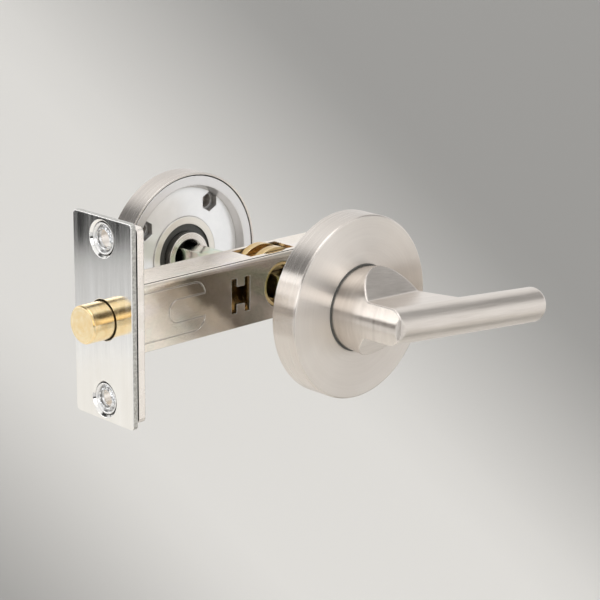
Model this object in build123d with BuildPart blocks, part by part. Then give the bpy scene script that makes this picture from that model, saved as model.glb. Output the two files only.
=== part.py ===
from build123d import *
from math import cos, radians, sin, sqrt, tan
import os

# Accessible bathroom privacy lock: a tubular bolt case, a lever rose and an emergency release rose.
# Millimetres. +X goes into the door, +Y to the release side, +Z up.
# The origin is the centre of the mounting plate's front face, on the bolt's axis.

os.makedirs("parts", exist_ok=True)

# Clearances that more than one piece uses
running_clearance = 0.05
slide_clearance = 0.3
pin_clearance = 0.12

# How near two sizes have to be to count as the same edge or corner
same_size = 0.01

# Spindle and lock geometry
backset = 60.0
spindle_size = 7.0
spindle_play = 0.05

# Bolt and its guide
bolt_radius = 5.3
bolt_reach = 7.2
bolt_throw = 7.0
bolt_chamfer = 0.45
bolt_rear_x = 25.8
bolt_slot_start = 12.8
guide_side_wall = 0.6
guide_length = 13.0
guide_fit = 0.05

# Bolt tail, a plate that runs in the rotor's groove
tail_thickness = 2.8
tail_side_play = 0.2
tail_web = 2.2
tail_neck_half_height = 4.2
tail_roof_clearance = 0.4
tail_pin_radius = 1.0
tail_pin_spacing = 5.6

# Rotor: two discs on a core, with a crank pin between them
core_wall = 0.48
boss_wall = 1.1
boss_clearance = 0.4
boss_inset = 0.5
boss_ring = 0.8
boss_recess = 2.2
disc_thickness = 2.3
disc_proud = 1.0
disc_flat_depth = 0.8
crank_pin_radius = 1.3
crank_pin_gap = 0.6
crank_angle = 225.0

# Case, one folded sheet
case_wall = 1.0
case_corner = 1.7
seam_edge_round = 0.3
seam_gap = 0.35
case_behind_axis = 24.0
slot_side_clearance = 0.2
slot_front_spare = 3.57
slot_rear_spare = 1.37
window_ahead_of_axis = 16.2
window_half_height = 5.1
window_leg = 2.0
window_half_width = 3.5
window_bridge_half_height = 2.6
press_mark_width = 0.35
press_mark_depth = 0.15
press_mark_end = 26.0
press_mark_half_height = 7.1
press_notch_half_height = 3.1
press_notch_depth = 13.0

# Faceplate and mounting plate
faceplate_height = 57.0
faceplate_width = 24.5
faceplate_thickness = 1.5
faceplate_corner = 1.3
faceplate_edge = 0.25
bolt_hole_clearance = 0.45
plate_gap = 0.7
mounting_thickness = 2.2
mounting_inset_height = 1.4
mounting_inset_width = 0.3
mounting_corner = 1.6
screw_margin = 6.1
screw_hole_radius = 2.6
screw_seat_wall = 0.35
screw_seat_recess = 0.5
screw_seat_cone = 1.4
seat_fit = 0.1
seat_shoulder = 0.2

# Roses, each a thin cap over a cast base
front_rim_y = -30.1
rear_rim_y = 32.6
rose_radius = 26.0
rose_thickness = 8.2
cap_wall = 0.6
cap_face = 1.0
cap_edge_round = 0.7
cap_gap = 0.35
rim_recess = 0.2
base_ring = 2.85
base_recess_depth = 2.9
base_recess_draft = 1.1
collar_wall = 2.3
collar_setback = 2.7
washer_recess_radius = 14.0
washer_recess_depth = 0.9
fixing_inset = 2.6
fixing_hole_radius = 2.1
nut_width = 5.5
nut_depth = 2.0
fixing_angle = 56.0
nut_turn = 30.0

# Sleeves and bushes that turn in the bases
sleeve_radius = 7.6
bush_wall = 2.2
bush_length = 3.0
neck_lip = 0.45
neck_ring_proud = 0.15
thrust_flange = 0.7

# Lever
neck_radius = 11.8
arm_radius = 5.1
arm_length = 52.5
arm_standoff = 19.4
arm_droop = 5.5
arm_end_round = 1.6
nose_reach = 10.6
nose_round = 2.8
nose_skim = 0.05
elbow_reach = 22.5
scoop_foot = 9.9
scoop_lean = 38.3
scoop_skew = 8.0
scoop_foot_round = 1.0
lever_edge_round = 0.3
spigot_tail = 1.4
clip_groove_depth = 0.6
clip_thickness = 0.7
clip_width = 2.0
clip_gap = 3.4
clip_fit = 0.02
washer_thickness = 0.4
spindle_in_lever = 13.0

# Release turn on the far side
release_button_radius = 8.4
release_button_proud = 1.6
release_button_chamfer = 0.5
release_gap = 0.3
release_flange_radius = 13.5
release_mouth_radius = 5.15
release_mouth_depth = 3.2
release_mouth_chamfer = 0.5
release_start = 0.8
release_web = 1.2
coin_slot_width = 2.2
coin_slot_depth = 1.3

# Detent spring
spring_sheet = 0.4
spring_clearance = 0.3
spring_half_height = 6.0
spring_bend = 1.4
spring_roof_gap = 0.6
spring_prong = 2.0

# Sizes that follow from the ones above
faceplate_front_x = -faceplate_thickness - plate_gap
spindle_x = faceplate_front_x + backset
screw_spacing = faceplate_height - 2 * screw_margin
core_radius = (spindle_size / 2 + spindle_play) * sqrt(2) + core_wall
boss_radius = core_radius + boss_wall
hub_hole_radius = boss_radius + boss_clearance
groove_half = tail_thickness / 2 + tail_side_play
disc_outer_y = groove_half + disc_thickness
tail_half_height = core_radius + slide_clearance + tail_web
case_inner_half_height = tail_half_height + tail_roof_clearance
case_half_height = case_inner_half_height + case_wall
case_inner_half_width = bolt_radius + running_clearance + guide_side_wall + guide_fit
case_half_width = case_inner_half_width + case_wall
disc_radius = case_half_height + disc_proud
crank_orbit = core_radius + crank_pin_radius + crank_pin_gap
notch_half_width = (crank_orbit * sqrt(2) - bolt_throw) / 2 + crank_pin_radius + pin_clearance
notch_x = spindle_x - bolt_throw / 2
tail_window_front_x = spindle_x - bolt_throw - core_radius - slide_clearance
tail_window_rear_x = spindle_x + core_radius + slide_clearance
case_front_x = mounting_thickness
case_end_x = spindle_x + case_behind_axis
case_inner_end_x = case_end_x - case_wall
disc_half_chord = sqrt(disc_radius**2 - case_inner_half_height**2)
bolt_hole_radius = bolt_radius + bolt_hole_clearance
screw_seat_outer = screw_hole_radius + screw_seat_cone + screw_seat_wall
faceplate_screw_radius = screw_seat_outer + seat_fit
front_face_y = front_rim_y - rose_thickness
rear_face_y = rear_rim_y + rose_thickness
cap_inner_radius = rose_radius - cap_wall
base_radius = cap_inner_radius - cap_gap
base_recess_radius = base_radius - base_ring
base_floor_radius = base_recess_radius - base_recess_draft
bush_outer_radius = sleeve_radius + running_clearance + bush_wall
base_bore_radius = bush_outer_radius + running_clearance
collar_radius = base_bore_radius + collar_wall
fixing_orbit = base_floor_radius - fixing_inset
neck_ring_radius = neck_radius + running_clearance + neck_lip
neck_hole_radius = neck_ring_radius + running_clearance
release_hole_radius = release_button_radius + release_gap
neck_start_y = front_face_y - neck_ring_proud - running_clearance
arm_y = front_face_y - arm_standoff
arm_front_y = arm_y - arm_radius
spindle_front_y = front_face_y - spindle_in_lever
spindle_axis = Axis((spindle_x, 0, 0), (0, 1, 0))


def across(y):
    """A plane square to the spindle at this Y, seen from the lever side."""
    return Plane.XZ.offset(-y)


def ring_points(inner, outer, y_one, y_two):
    """The corners of a plain ring's section beside the spindle axis."""
    return [
        (spindle_x + inner, y_one),
        (spindle_x + outer, y_one),
        (spindle_x + outer, y_two),
        (spindle_x + inner, y_two),
    ]


def save(part, label):
    """Name a finished piece and write it."""
    part.label = label
    export_step(part, f"parts/{label}.step")


# The faceplate is a flat stainless strip with two dished screw holes and the bolt's hole.
with BuildPart() as faceplate:
    with BuildSketch(Plane.YZ.offset(faceplate_front_x)):
        RectangleRounded(faceplate_width, faceplate_height, faceplate_corner)
        Circle(bolt_hole_radius, mode=Mode.SUBTRACT)
        with GridLocations(0, screw_spacing, 1, 2):
            Circle(faceplate_screw_radius, mode=Mode.SUBTRACT)
    extrude(amount=faceplate_thickness)
    front_edges = faceplate.faces().sort_by(Axis.X)[0].edges()
    dish_edges = front_edges.filter_by(GeomType.CIRCLE).filter_by(
        lambda edge: abs(edge.radius - faceplate_screw_radius) < same_size
    )
    chamfer(dish_edges, faceplate_thickness / 2)
    outline = faceplate.faces().sort_by(Axis.X)[0].outer_wire().edges()
    fillet(outline, faceplate_edge)
save(faceplate.part, "faceplate")

# The mounting plate carries the case, and two pressed seats that hold the faceplate and the screws.
with BuildPart() as mounting_plate:
    with BuildSketch(Plane.YZ):
        RectangleRounded(
            faceplate_width - 2 * mounting_inset_width,
            faceplate_height - 2 * mounting_inset_height,
            mounting_corner,
        )
    extrude(amount=mounting_thickness)
    with BuildSketch(Plane.YZ.offset(-plate_gap)):
        with GridLocations(0, screw_spacing, 1, 2):
            Circle(faceplate_screw_radius + seat_shoulder)
    extrude(amount=plate_gap)
    with BuildSketch(Plane.YZ.offset(faceplate_front_x + screw_seat_recess)):
        with GridLocations(0, screw_spacing, 1, 2):
            Circle(screw_seat_outer)
    extrude(amount=faceplate_thickness - screw_seat_recess)
    with BuildSketch(Plane.YZ.offset(faceplate_front_x)):
        Circle(bolt_hole_radius)
        with GridLocations(0, screw_spacing, 1, 2):
            Circle(screw_hole_radius)
    extrude(amount=mounting_thickness - faceplate_front_x, mode=Mode.SUBTRACT)
    seat_rims = mounting_plate.edges().filter_by(GeomType.CIRCLE).filter_by(
        lambda edge: abs(edge.radius - screw_hole_radius) < same_size
    )
    chamfer(seat_rims.group_by(Axis.X)[0], screw_seat_cone)
save(mounting_plate.part, "mounting_plate")

# The case is one sheet folded round, with its seam along the near top edge and its end folded shut.
with BuildPart() as case_shell:
    with BuildSketch(Plane.YZ.offset(case_front_x)) as case_section:
        Rectangle(2 * case_half_width, 2 * case_half_height)
        seam_corner = case_section.vertices().group_by(Axis.Z)[-1].sort_by(Axis.Y)[0]
        folded_corners = [v for v in case_section.vertices() if v != seam_corner]
        fillet(folded_corners, case_corner)
        fillet(seam_corner, seam_edge_round)
    extrude(amount=case_end_x - case_front_x)
    with BuildSketch(Plane.YZ.offset(case_front_x)):
        RectangleRounded(
            2 * case_inner_half_width, 2 * case_inner_half_height, case_corner - case_wall
        )
    extrude(amount=case_inner_end_x - case_front_x, mode=Mode.SUBTRACT)
    with BuildSketch(Plane.XY.offset(case_inner_half_height)):
        with Locations((case_front_x, -case_inner_half_width)):
            Rectangle(
                case_inner_end_x - case_front_x, seam_gap, align=(Align.MIN, Align.MIN)
            )
    extrude(amount=case_wall, mode=Mode.SUBTRACT)
    with BuildSketch(Plane.XY.offset(-case_half_height)):
        with Locations((spindle_x - disc_half_chord - slot_front_spare, 0)):
            Rectangle(
                2 * disc_half_chord + slot_front_spare + slot_rear_spare,
                2 * (disc_outer_y + slot_side_clearance),
                align=(Align.MIN, Align.CENTER),
            )
    extrude(amount=2 * case_half_height, mode=Mode.SUBTRACT)
    with BuildSketch(across(case_half_width)):
        with Locations((spindle_x, 0)):
            Circle(hub_hole_radius)
    extrude(amount=2 * case_half_width, mode=Mode.SUBTRACT)
    with BuildSketch(across(-case_inner_half_width)):
        with Locations((spindle_x - window_ahead_of_axis, 0)):
            Rectangle(2 * window_half_width, 2 * window_bridge_half_height)
            with GridLocations(2 * window_half_width - window_leg, 0, 2, 1):
                Rectangle(window_leg, 2 * window_half_height)
    extrude(amount=case_wall, mode=Mode.SUBTRACT)
    with BuildSketch(across(-case_half_width)) as press_mark:
        with Locations((case_front_x - press_mark_width, 0)):
            Rectangle(
                press_mark_end + press_mark_width,
                2 * press_mark_half_height,
                align=(Align.MIN, Align.CENTER),
            )
        open_corners = press_mark.vertices().group_by(Axis.X)[-1]
        fillet(open_corners, press_mark_half_height - press_notch_half_height)
        with Locations((case_front_x + press_mark_end, 0)):
            SlotCenterToCenter(
                2 * (press_notch_depth - press_notch_half_height),
                2 * press_notch_half_height,
                mode=Mode.SUBTRACT,
            )
        inside = offset(press_mark.sketch, -press_mark_width, mode=Mode.PRIVATE)
        add(inside, mode=Mode.SUBTRACT)
    extrude(amount=-press_mark_depth, mode=Mode.SUBTRACT)
save(case_shell.part, "case_shell")

# The guide block fills the front of the case and keeps the bolt straight.
with BuildPart() as bolt_guide:
    with BuildSketch(Plane.YZ.offset(case_front_x)):
        RectangleRounded(
            2 * (case_inner_half_width - guide_fit),
            2 * (case_inner_half_height - guide_fit),
            case_corner - case_wall,
        )
        Circle(bolt_radius + running_clearance, mode=Mode.SUBTRACT)
    extrude(amount=guide_length)
save(bolt_guide.part, "bolt_guide")

# The bolt is a turned brass bar, slotted at its back for the tail.
with BuildPart() as bolt:
    bolt_end_x = faceplate_front_x - bolt_reach
    with BuildSketch(Plane.YZ.offset(bolt_end_x)):
        Circle(bolt_radius)
    extrude(amount=bolt_rear_x - bolt_end_x)
    chamfer(bolt.faces().sort_by(Axis.X)[0].edges(), bolt_chamfer)
    with BuildSketch(Plane.XY.offset(-bolt_radius)):
        with Locations((bolt_slot_start, 0)):
            Rectangle(
                bolt_rear_x - bolt_slot_start,
                tail_thickness + 2 * guide_fit,
                align=(Align.MIN, Align.CENTER),
            )
    extrude(amount=2 * bolt_radius, mode=Mode.SUBTRACT)
    with BuildSketch(across(bolt_radius)):
        with Locations(((bolt_slot_start + bolt_rear_x) / 2, 0)):
            with GridLocations(tail_pin_spacing, 0, 2, 1):
                Circle(tail_pin_radius)
    extrude(amount=2 * bolt_radius, mode=Mode.SUBTRACT)
save(bolt.part, "bolt")

# The tail is a blanked plate: a neck in the bolt, a window round the core and a notch for the pin.
with BuildPart() as bolt_tail:
    with BuildSketch(across(tail_thickness / 2)):
        with Locations((bolt_slot_start + slide_clearance, 0)):
            Rectangle(
                tail_window_rear_x - bolt_slot_start,
                2 * tail_neck_half_height,
                align=(Align.MIN, Align.CENTER),
            )
        with Locations((bolt_rear_x + slide_clearance, 0)):
            Rectangle(
                tail_window_rear_x + tail_web - bolt_rear_x - slide_clearance,
                2 * tail_half_height,
                align=(Align.MIN, Align.CENTER),
            )
        with Locations(((tail_window_front_x + tail_window_rear_x) / 2, 0)):
            SlotCenterToCenter(
                bolt_throw, 2 * (core_radius + slide_clearance), mode=Mode.SUBTRACT
            )
        with Locations((notch_x, 0)):
            Rectangle(
                2 * notch_half_width,
                tail_half_height,
                align=(Align.CENTER, Align.MAX),
                mode=Mode.SUBTRACT,
            )
        with Locations(((bolt_slot_start + bolt_rear_x) / 2, 0)):
            with GridLocations(tail_pin_spacing, 0, 2, 1):
                Circle(tail_pin_radius, mode=Mode.SUBTRACT)
    extrude(amount=tail_thickness)
save(bolt_tail.part, "bolt_tail")

# Two plain pins hold the tail in the bolt.
with BuildPart() as tail_pins:
    pin_half_length = sqrt(bolt_radius**2 - tail_pin_radius**2) - slide_clearance
    with BuildSketch(across(pin_half_length)):
        with Locations(((bolt_slot_start + bolt_rear_x) / 2, 0)):
            with GridLocations(tail_pin_spacing, 0, 2, 1):
                Circle(tail_pin_radius)
    extrude(amount=2 * pin_half_length)
save(tail_pins.part, "tail_pins")

# The rotor is turned from brass: hollow bosses in the case sides, two discs, a groove between.
with BuildPart() as rotor:
    boss_end = case_half_width - boss_inset
    for half_width, radius in (
        (boss_end, boss_radius),
        (disc_outer_y, disc_radius),
    ):
        with BuildSketch(across(half_width)):
            with Locations((spindle_x, 0)):
                Circle(radius)
        extrude(amount=2 * half_width)
    with BuildSketch(across(groove_half)):
        with Locations((spindle_x, 0)):
            Circle(disc_radius)
            Circle(core_radius, mode=Mode.SUBTRACT)
    extrude(amount=2 * groove_half, mode=Mode.SUBTRACT)
    for side in (1, -1):
        with BuildSketch(across(side * boss_end)):
            with Locations((spindle_x, 0)):
                Circle(boss_radius - boss_ring)
        extrude(amount=side * boss_recess, mode=Mode.SUBTRACT)
    with BuildSketch(across(boss_end)):
        with Locations((spindle_x, 0)):
            Rectangle(spindle_size + 2 * spindle_play, spindle_size + 2 * spindle_play)
    extrude(amount=2 * boss_end, mode=Mode.SUBTRACT)
    with BuildSketch(across(disc_outer_y)):
        with Locations((spindle_x + disc_radius - disc_flat_depth, 0)):
            Rectangle(disc_radius, 2 * disc_radius, align=(Align.MIN, Align.CENTER))
        with Locations((spindle_x, -disc_radius + disc_flat_depth)):
            Rectangle(2 * disc_radius, disc_radius, align=(Align.CENTER, Align.MAX))
        with Locations((spindle_x, 0)):
            with PolarLocations(crank_orbit, 1, crank_angle):
                Circle(crank_pin_radius)
    extrude(amount=2 * disc_outer_y, mode=Mode.SUBTRACT)
save(rotor.part, "rotor")

# The crank pin crosses the groove and works the tail's notch.
with BuildPart() as crank_pin:
    with BuildSketch(across(disc_outer_y)):
        with Locations((spindle_x, 0)):
            with PolarLocations(crank_orbit, 1, crank_angle):
                Circle(crank_pin_radius)
    extrude(amount=2 * disc_outer_y)
save(crank_pin.part, "crank_pin")

# The detent spring is a bent strip behind the rotor, with one prong for each disc.
with BuildPart() as detent_spring:
    spring_front_x = spindle_x + disc_radius + spring_clearance
    spring_roof = case_inner_half_height - spring_roof_gap
    for inset, operation in ((0, Mode.ADD), (spring_sheet, Mode.SUBTRACT)):
        with BuildSketch(across(disc_outer_y)) as spring_section:
            with Locations((spring_front_x + inset, spring_roof - inset)):
                Rectangle(
                    case_inner_end_x - spring_front_x - 2 * inset,
                    spring_roof + spring_half_height,
                    align=(Align.MIN, Align.MAX),
                )
            fillet(spring_section.vertices().group_by(Axis.Z)[-1], spring_bend - inset)
        extrude(amount=2 * disc_outer_y, mode=operation)
    with BuildSketch(Plane.XY.offset(-spring_half_height)):
        with Locations((spring_front_x, 0)):
            Rectangle(
                case_inner_end_x - spring_sheet - spring_bend - spring_front_x,
                2 * (disc_outer_y - spring_prong),
                align=(Align.MIN, Align.CENTER),
            )
    extrude(amount=spring_roof + spring_half_height, mode=Mode.SUBTRACT)
save(detent_spring.part, "detent_spring")


def rose_cap(rim_y, outward, hole_radius):
    """A pressed cap: a thin wall, a flat face and a round edge between them."""
    with BuildPart() as cap:
        face_y = rim_y + outward * rose_thickness
        inner_face_y = face_y - outward * cap_face
        with BuildSketch() as section:
            with BuildLine():
                Polyline(
                    (spindle_x + hole_radius, face_y),
                    (spindle_x + rose_radius, face_y),
                    (spindle_x + rose_radius, rim_y),
                    (spindle_x + cap_inner_radius, rim_y),
                    (spindle_x + cap_inner_radius, inner_face_y),
                    (spindle_x + hole_radius, inner_face_y),
                    close=True,
                )
            make_face()
            outer_corner = section.vertices().filter_by(
                lambda v: abs(v.X - spindle_x - rose_radius) < same_size
                and abs(v.Y - face_y) < same_size
            )
            fillet(outer_corner, cap_edge_round)
        revolve(axis=spindle_axis)
    return cap.part


def rose_base(rim_y, outward):
    """A cast base: a ring, a dished floor, a collar and four nut pockets with holes behind."""
    with BuildPart() as base:
        foot_y = rim_y + outward * rim_recess
        floor_y = foot_y + outward * base_recess_depth
        collar_y = rim_y + outward * collar_setback
        back_y = rim_y + outward * (rose_thickness - cap_face)
        washer_y = back_y - outward * washer_recess_depth
        with BuildSketch():
            with BuildLine():
                Polyline(
                    (spindle_x + base_radius, foot_y),
                    (spindle_x + base_recess_radius, foot_y),
                    (spindle_x + base_floor_radius, floor_y),
                    (spindle_x + collar_radius, floor_y),
                    (spindle_x + collar_radius, collar_y),
                    (spindle_x + base_bore_radius, collar_y),
                    (spindle_x + base_bore_radius, washer_y),
                    (spindle_x + washer_recess_radius, washer_y),
                    (spindle_x + washer_recess_radius, back_y),
                    (spindle_x + base_radius, back_y),
                    close=True,
                )
            make_face()
        revolve(axis=spindle_axis)
        with BuildSketch(across(floor_y)):
            with Locations((spindle_x, 0)):
                with PolarLocations(fixing_orbit, 4, fixing_angle, rotate=False):
                    Circle(fixing_hole_radius)
        extrude(amount=floor_y - back_y, mode=Mode.SUBTRACT)
        with BuildSketch(across(floor_y)):
            with Locations((spindle_x, 0)):
                with PolarLocations(fixing_orbit, 4, fixing_angle, rotate=False):
                    RegularPolygon(nut_width / 2, 6, major_radius=False, rotation=nut_turn)
        extrude(amount=-outward * nut_depth, mode=Mode.SUBTRACT)
    return base.part


def sleeve_bush(rim_y, outward):
    """A plain bush pressed into the base's bore, for a turning sleeve."""
    washer_y = rim_y + outward * (rose_thickness - cap_face - washer_recess_depth)
    with BuildPart() as bush:
        with BuildSketch():
            with BuildLine():
                Polyline(
                    *ring_points(
                        sleeve_radius + running_clearance,
                        bush_outer_radius,
                        washer_y,
                        washer_y - outward * bush_length,
                    ),
                    close=True,
                )
            make_face()
        revolve(axis=spindle_axis)
    return bush.part


save(rose_cap(front_rim_y, -1, neck_hole_radius), "front_rose_cap")
save(rose_base(front_rim_y, -1), "front_rose_base")
save(sleeve_bush(front_rim_y, -1), "front_bush")
save(rose_cap(rear_rim_y, 1, release_hole_radius), "rear_rose_cap")
save(rose_base(rear_rim_y, 1), "rear_rose_base")
save(sleeve_bush(rear_rim_y, 1), "rear_bush")

# The neck ring lines the hole in the front cap, and its flange takes the lever's push.
washer_floor_y = front_face_y + cap_face + washer_recess_depth
thrust_y = washer_floor_y - thrust_flange
with BuildPart() as neck_ring:
    with BuildSketch():
        with BuildLine():
            Polyline(
                (spindle_x + sleeve_radius + slide_clearance, washer_floor_y),
                (spindle_x + washer_recess_radius - guide_fit, washer_floor_y),
                (spindle_x + washer_recess_radius - guide_fit, thrust_y),
                (spindle_x + neck_ring_radius, thrust_y),
                (spindle_x + neck_ring_radius, front_face_y - neck_ring_proud),
                (spindle_x + neck_radius + running_clearance, front_face_y - neck_ring_proud),
                (spindle_x + neck_radius + running_clearance, thrust_y),
                (spindle_x + sleeve_radius + slide_clearance, thrust_y),
                close=True,
            )
        make_face()
    revolve(axis=spindle_axis)
save(neck_ring.part, "neck_ring")

# The spindle is a square bar from the lever, through the rotor, into the release turn.
release_inner_y = rear_rim_y + release_start
release_broach_end_y = rear_face_y - cap_face - release_web
with BuildPart() as spindle:
    with BuildSketch(across(release_broach_end_y - slide_clearance)):
        with Locations((spindle_x, 0)):
            Rectangle(spindle_size, spindle_size)
    extrude(amount=release_broach_end_y - slide_clearance - spindle_front_y)
    chamfer(spindle.edges().group_by(Axis.Y)[0], slide_clearance)
    chamfer(spindle.edges().group_by(Axis.Y)[-1], slide_clearance)
save(spindle.part, "spindle")

# Lever directions: along the arm, and up from it, both turned down by the droop. The scoops are
# cut along a line that is skewed in plan, so that they run out towards the rose.
arm_along = Vector(cos(radians(arm_droop)), 0, -sin(radians(arm_droop)))
arm_up = Vector(sin(radians(arm_droop)), 0, cos(radians(arm_droop)))
plan_plane = Plane(origin=(spindle_x, 0, 0), x_dir=arm_along, z_dir=arm_up)
side_plane = Plane(origin=(spindle_x, 0, 0), x_dir=(0, 1, 0), z_dir=arm_along)
scoop_along = arm_along * cos(radians(scoop_skew)) + Vector(0, sin(radians(scoop_skew)), 0)
scoop_plane = Plane(
    origin=(spindle_x, 0, 0), x_dir=arm_up.cross(scoop_along), z_dir=scoop_along
)
arm_start_plane = Plane(origin=Vector(spindle_x, arm_y, 0), x_dir=(0, 1, 0), z_dir=arm_along)


def lever_section(y):
    """The plane square to the spindle at this Y, turned with the lever."""
    return Plane(origin=(spindle_x, y, 0), x_dir=arm_along, z_dir=(0, -1, 0))


# The lever is cast and ground: a round neck that widens into the elbow, scooped above and below,
# and a round arm. A spigot behind the neck turns in the front base.
with BuildPart() as lever_handle:
    with BuildSketch(scoop_plane):
        scoop_foot_y = (front_face_y - scoop_foot) * cos(radians(scoop_skew))
        wall_run = tan(radians(scoop_lean))
        with BuildLine():
            Polyline(
                (0, 0),
                (0, 2 * neck_radius),
                (scoop_foot_y + (2 * neck_radius - arm_radius) * wall_run, 2 * neck_radius),
                (scoop_foot_y - arm_radius * wall_run, 0),
                close=True,
            )
        make_face()
        mirror(about=Plane.XZ)
    extrude(amount=2 * elbow_reach, both=True)
    with BuildSketch(side_plane):
        Rectangle(-arm_y, 2 * arm_radius, align=(Align.MAX, Align.CENTER))
        with Locations((arm_y, 0)):
            Circle(arm_radius)
    extrude(amount=2 * elbow_reach, both=True)
    foot_edges = lever_handle.edges().filter_by(
        lambda edge: edge.length > 2 * elbow_reach
        and arm_y + arm_radius < edge.center().Y < front_face_y
    )
    fillet(foot_edges, scoop_foot_round)
    with BuildSketch(lever_section(neck_start_y)):
        Circle(neck_radius)
    with BuildSketch(lever_section(arm_front_y)):
        with Locations(((elbow_reach - nose_reach) / 2, 0)):
            Circle((elbow_reach + nose_reach) / 2)
    loft(mode=Mode.INTERSECT)
    with BuildSketch(plan_plane) as nose_outline:
        with BuildLine():
            Polyline(
                (-neck_radius - nose_skim, neck_start_y),
                (-nose_reach - nose_skim, arm_front_y),
                (elbow_reach, arm_front_y),
                (elbow_reach, neck_start_y),
                close=True,
            )
        make_face()
        nose_corner = nose_outline.vertices().group_by(Axis.Y)[0].sort_by(Axis.X)[0]
        fillet(nose_corner, nose_round)
    extrude(amount=elbow_reach, both=True, mode=Mode.INTERSECT)
    side_edges = lever_handle.edges().filter_by(GeomType.BSPLINE).sort_by(SortBy.LENGTH)[-2:]
    fillet(side_edges, lever_edge_round)
    with BuildSketch(arm_start_plane):
        Circle(arm_radius)
    extrude(amount=arm_length)
    arm_end = lever_handle.faces().sort_by(Axis.X)[-1]
    fillet(arm_end.edges(), arm_end_round)
    with BuildSketch(lever_section(thrust_y - running_clearance)):
        Circle(neck_radius)
    extrude(amount=thrust_y - running_clearance - neck_start_y)
    spigot_end_y = front_rim_y - spigot_tail
    with BuildSketch(lever_section(spigot_end_y)):
        Circle(sleeve_radius)
    extrude(amount=spigot_end_y - front_face_y)
    bush_end_y = washer_floor_y + bush_length
    clip_y = bush_end_y + washer_thickness + 2 * running_clearance
    with BuildSketch(lever_section(clip_y + clip_thickness)):
        Circle(sleeve_radius)
        Circle(sleeve_radius - clip_groove_depth, mode=Mode.SUBTRACT)
    extrude(amount=clip_thickness, mode=Mode.SUBTRACT)
    with BuildSketch(across(spigot_end_y)):
        with Locations((spindle_x, 0)):
            Rectangle(spindle_size + 2 * spindle_play, spindle_size + 2 * spindle_play)
    extrude(amount=spigot_end_y - spindle_front_y + slide_clearance, mode=Mode.SUBTRACT)
save(lever_handle.part, "lever_handle")

# A thin washer and an open spring clip keep the lever in the front rose.
with BuildPart() as clip_washer:
    with BuildSketch(across(clip_y - running_clearance)):
        with Locations((spindle_x, 0)):
            Circle(bush_outer_radius - slide_clearance)
            Circle(sleeve_radius + running_clearance, mode=Mode.SUBTRACT)
    extrude(amount=washer_thickness)
save(clip_washer.part, "clip_washer")

with BuildPart() as spring_clip:
    with BuildSketch(across(clip_y + clip_thickness)):
        with Locations((spindle_x, 0)):
            Circle(sleeve_radius - clip_groove_depth + clip_width)
            Circle(sleeve_radius - clip_groove_depth + clip_fit, mode=Mode.SUBTRACT)
            Rectangle(
                clip_gap, 2 * sleeve_radius, align=(Align.CENTER, Align.MAX), mode=Mode.SUBTRACT
            )
    extrude(amount=clip_thickness)
save(spring_clip.part, "spring_clip")

# The release turn is one turned piece: a broached sleeve, a flange under the cap, a slotted button.
with BuildPart() as release_turn:
    button_y = rear_face_y + release_button_proud
    flange_back_y = rear_face_y - cap_face - running_clearance
    flange_front_y = flange_back_y - thrust_flange
    with BuildSketch():
        with BuildLine():
            Polyline(
                (spindle_x, release_inner_y),
                (spindle_x + sleeve_radius, release_inner_y),
                (spindle_x + sleeve_radius, flange_front_y),
                (spindle_x + release_flange_radius, flange_front_y),
                (spindle_x + release_flange_radius, flange_back_y),
                (spindle_x + release_button_radius, flange_back_y),
                (spindle_x + release_button_radius, button_y),
                (spindle_x, button_y),
                close=True,
            )
        make_face()
    revolve(axis=spindle_axis)
    chamfer(release_turn.faces().sort_by(Axis.Y)[-1].edges(), release_button_chamfer)
    with BuildSketch(across(release_inner_y)):
        with Locations((spindle_x, 0)):
            Circle(release_mouth_radius)
    extrude(amount=-release_mouth_depth, mode=Mode.SUBTRACT)
    mouth_rim = release_turn.edges().filter_by(GeomType.CIRCLE).group_by(Axis.Y)[0]
    chamfer(mouth_rim.sort_by(SortBy.RADIUS)[0], release_mouth_chamfer)
    with BuildSketch(across(release_broach_end_y)):
        with Locations((spindle_x, 0)):
            Rectangle(spindle_size + 2 * spindle_play, spindle_size + 2 * spindle_play)
    extrude(amount=release_broach_end_y - release_inner_y, mode=Mode.SUBTRACT)
    with BuildSketch(across(button_y)):
        with Locations((spindle_x, 0)):
            Rectangle(2 * release_button_radius, coin_slot_width)
    extrude(amount=coin_slot_depth, mode=Mode.SUBTRACT)
save(release_turn.part, "release_turn")
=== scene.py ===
import bpy
from math import cos, radians, sin
from mathutils import Matrix, Vector


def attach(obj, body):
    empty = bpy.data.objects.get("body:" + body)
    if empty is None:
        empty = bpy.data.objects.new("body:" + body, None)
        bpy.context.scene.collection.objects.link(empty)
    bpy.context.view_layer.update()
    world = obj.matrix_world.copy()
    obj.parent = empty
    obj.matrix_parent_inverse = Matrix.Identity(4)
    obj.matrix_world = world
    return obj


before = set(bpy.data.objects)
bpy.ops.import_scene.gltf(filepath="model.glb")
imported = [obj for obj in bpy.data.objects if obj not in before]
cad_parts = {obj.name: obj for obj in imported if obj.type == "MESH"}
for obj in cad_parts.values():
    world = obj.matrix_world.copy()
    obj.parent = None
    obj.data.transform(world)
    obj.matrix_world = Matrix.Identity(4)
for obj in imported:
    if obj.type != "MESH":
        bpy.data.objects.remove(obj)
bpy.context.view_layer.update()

# ---- Camera
# The lens stands to the left of the lock, a little above it, and looks down on the bolt's end and
# the lever's side. It has the place, turn and focal length that the outlines in the photo give.
camera_place = Vector((-0.29410, -0.36747, 0.14332))
camera_turn = Matrix.Rotation(radians(-44.901), 4, "Z")
camera_tilt = Matrix.Rotation(radians(90 - 16.365), 4, "X")
camera_roll = Matrix.Rotation(radians(0.841), 4, "Z")
lens = bpy.data.cameras.new("camera")
lens.sensor_width = 36
lens.lens = 109.318
lens.clip_start = 0.01
camera = bpy.data.objects.new("camera", lens)
bpy.context.scene.collection.objects.link(camera)
camera.matrix_world = (
    Matrix.Translation(camera_place) @ camera_turn @ camera_tilt @ camera_roll
)
bpy.context.scene.camera = camera
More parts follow.
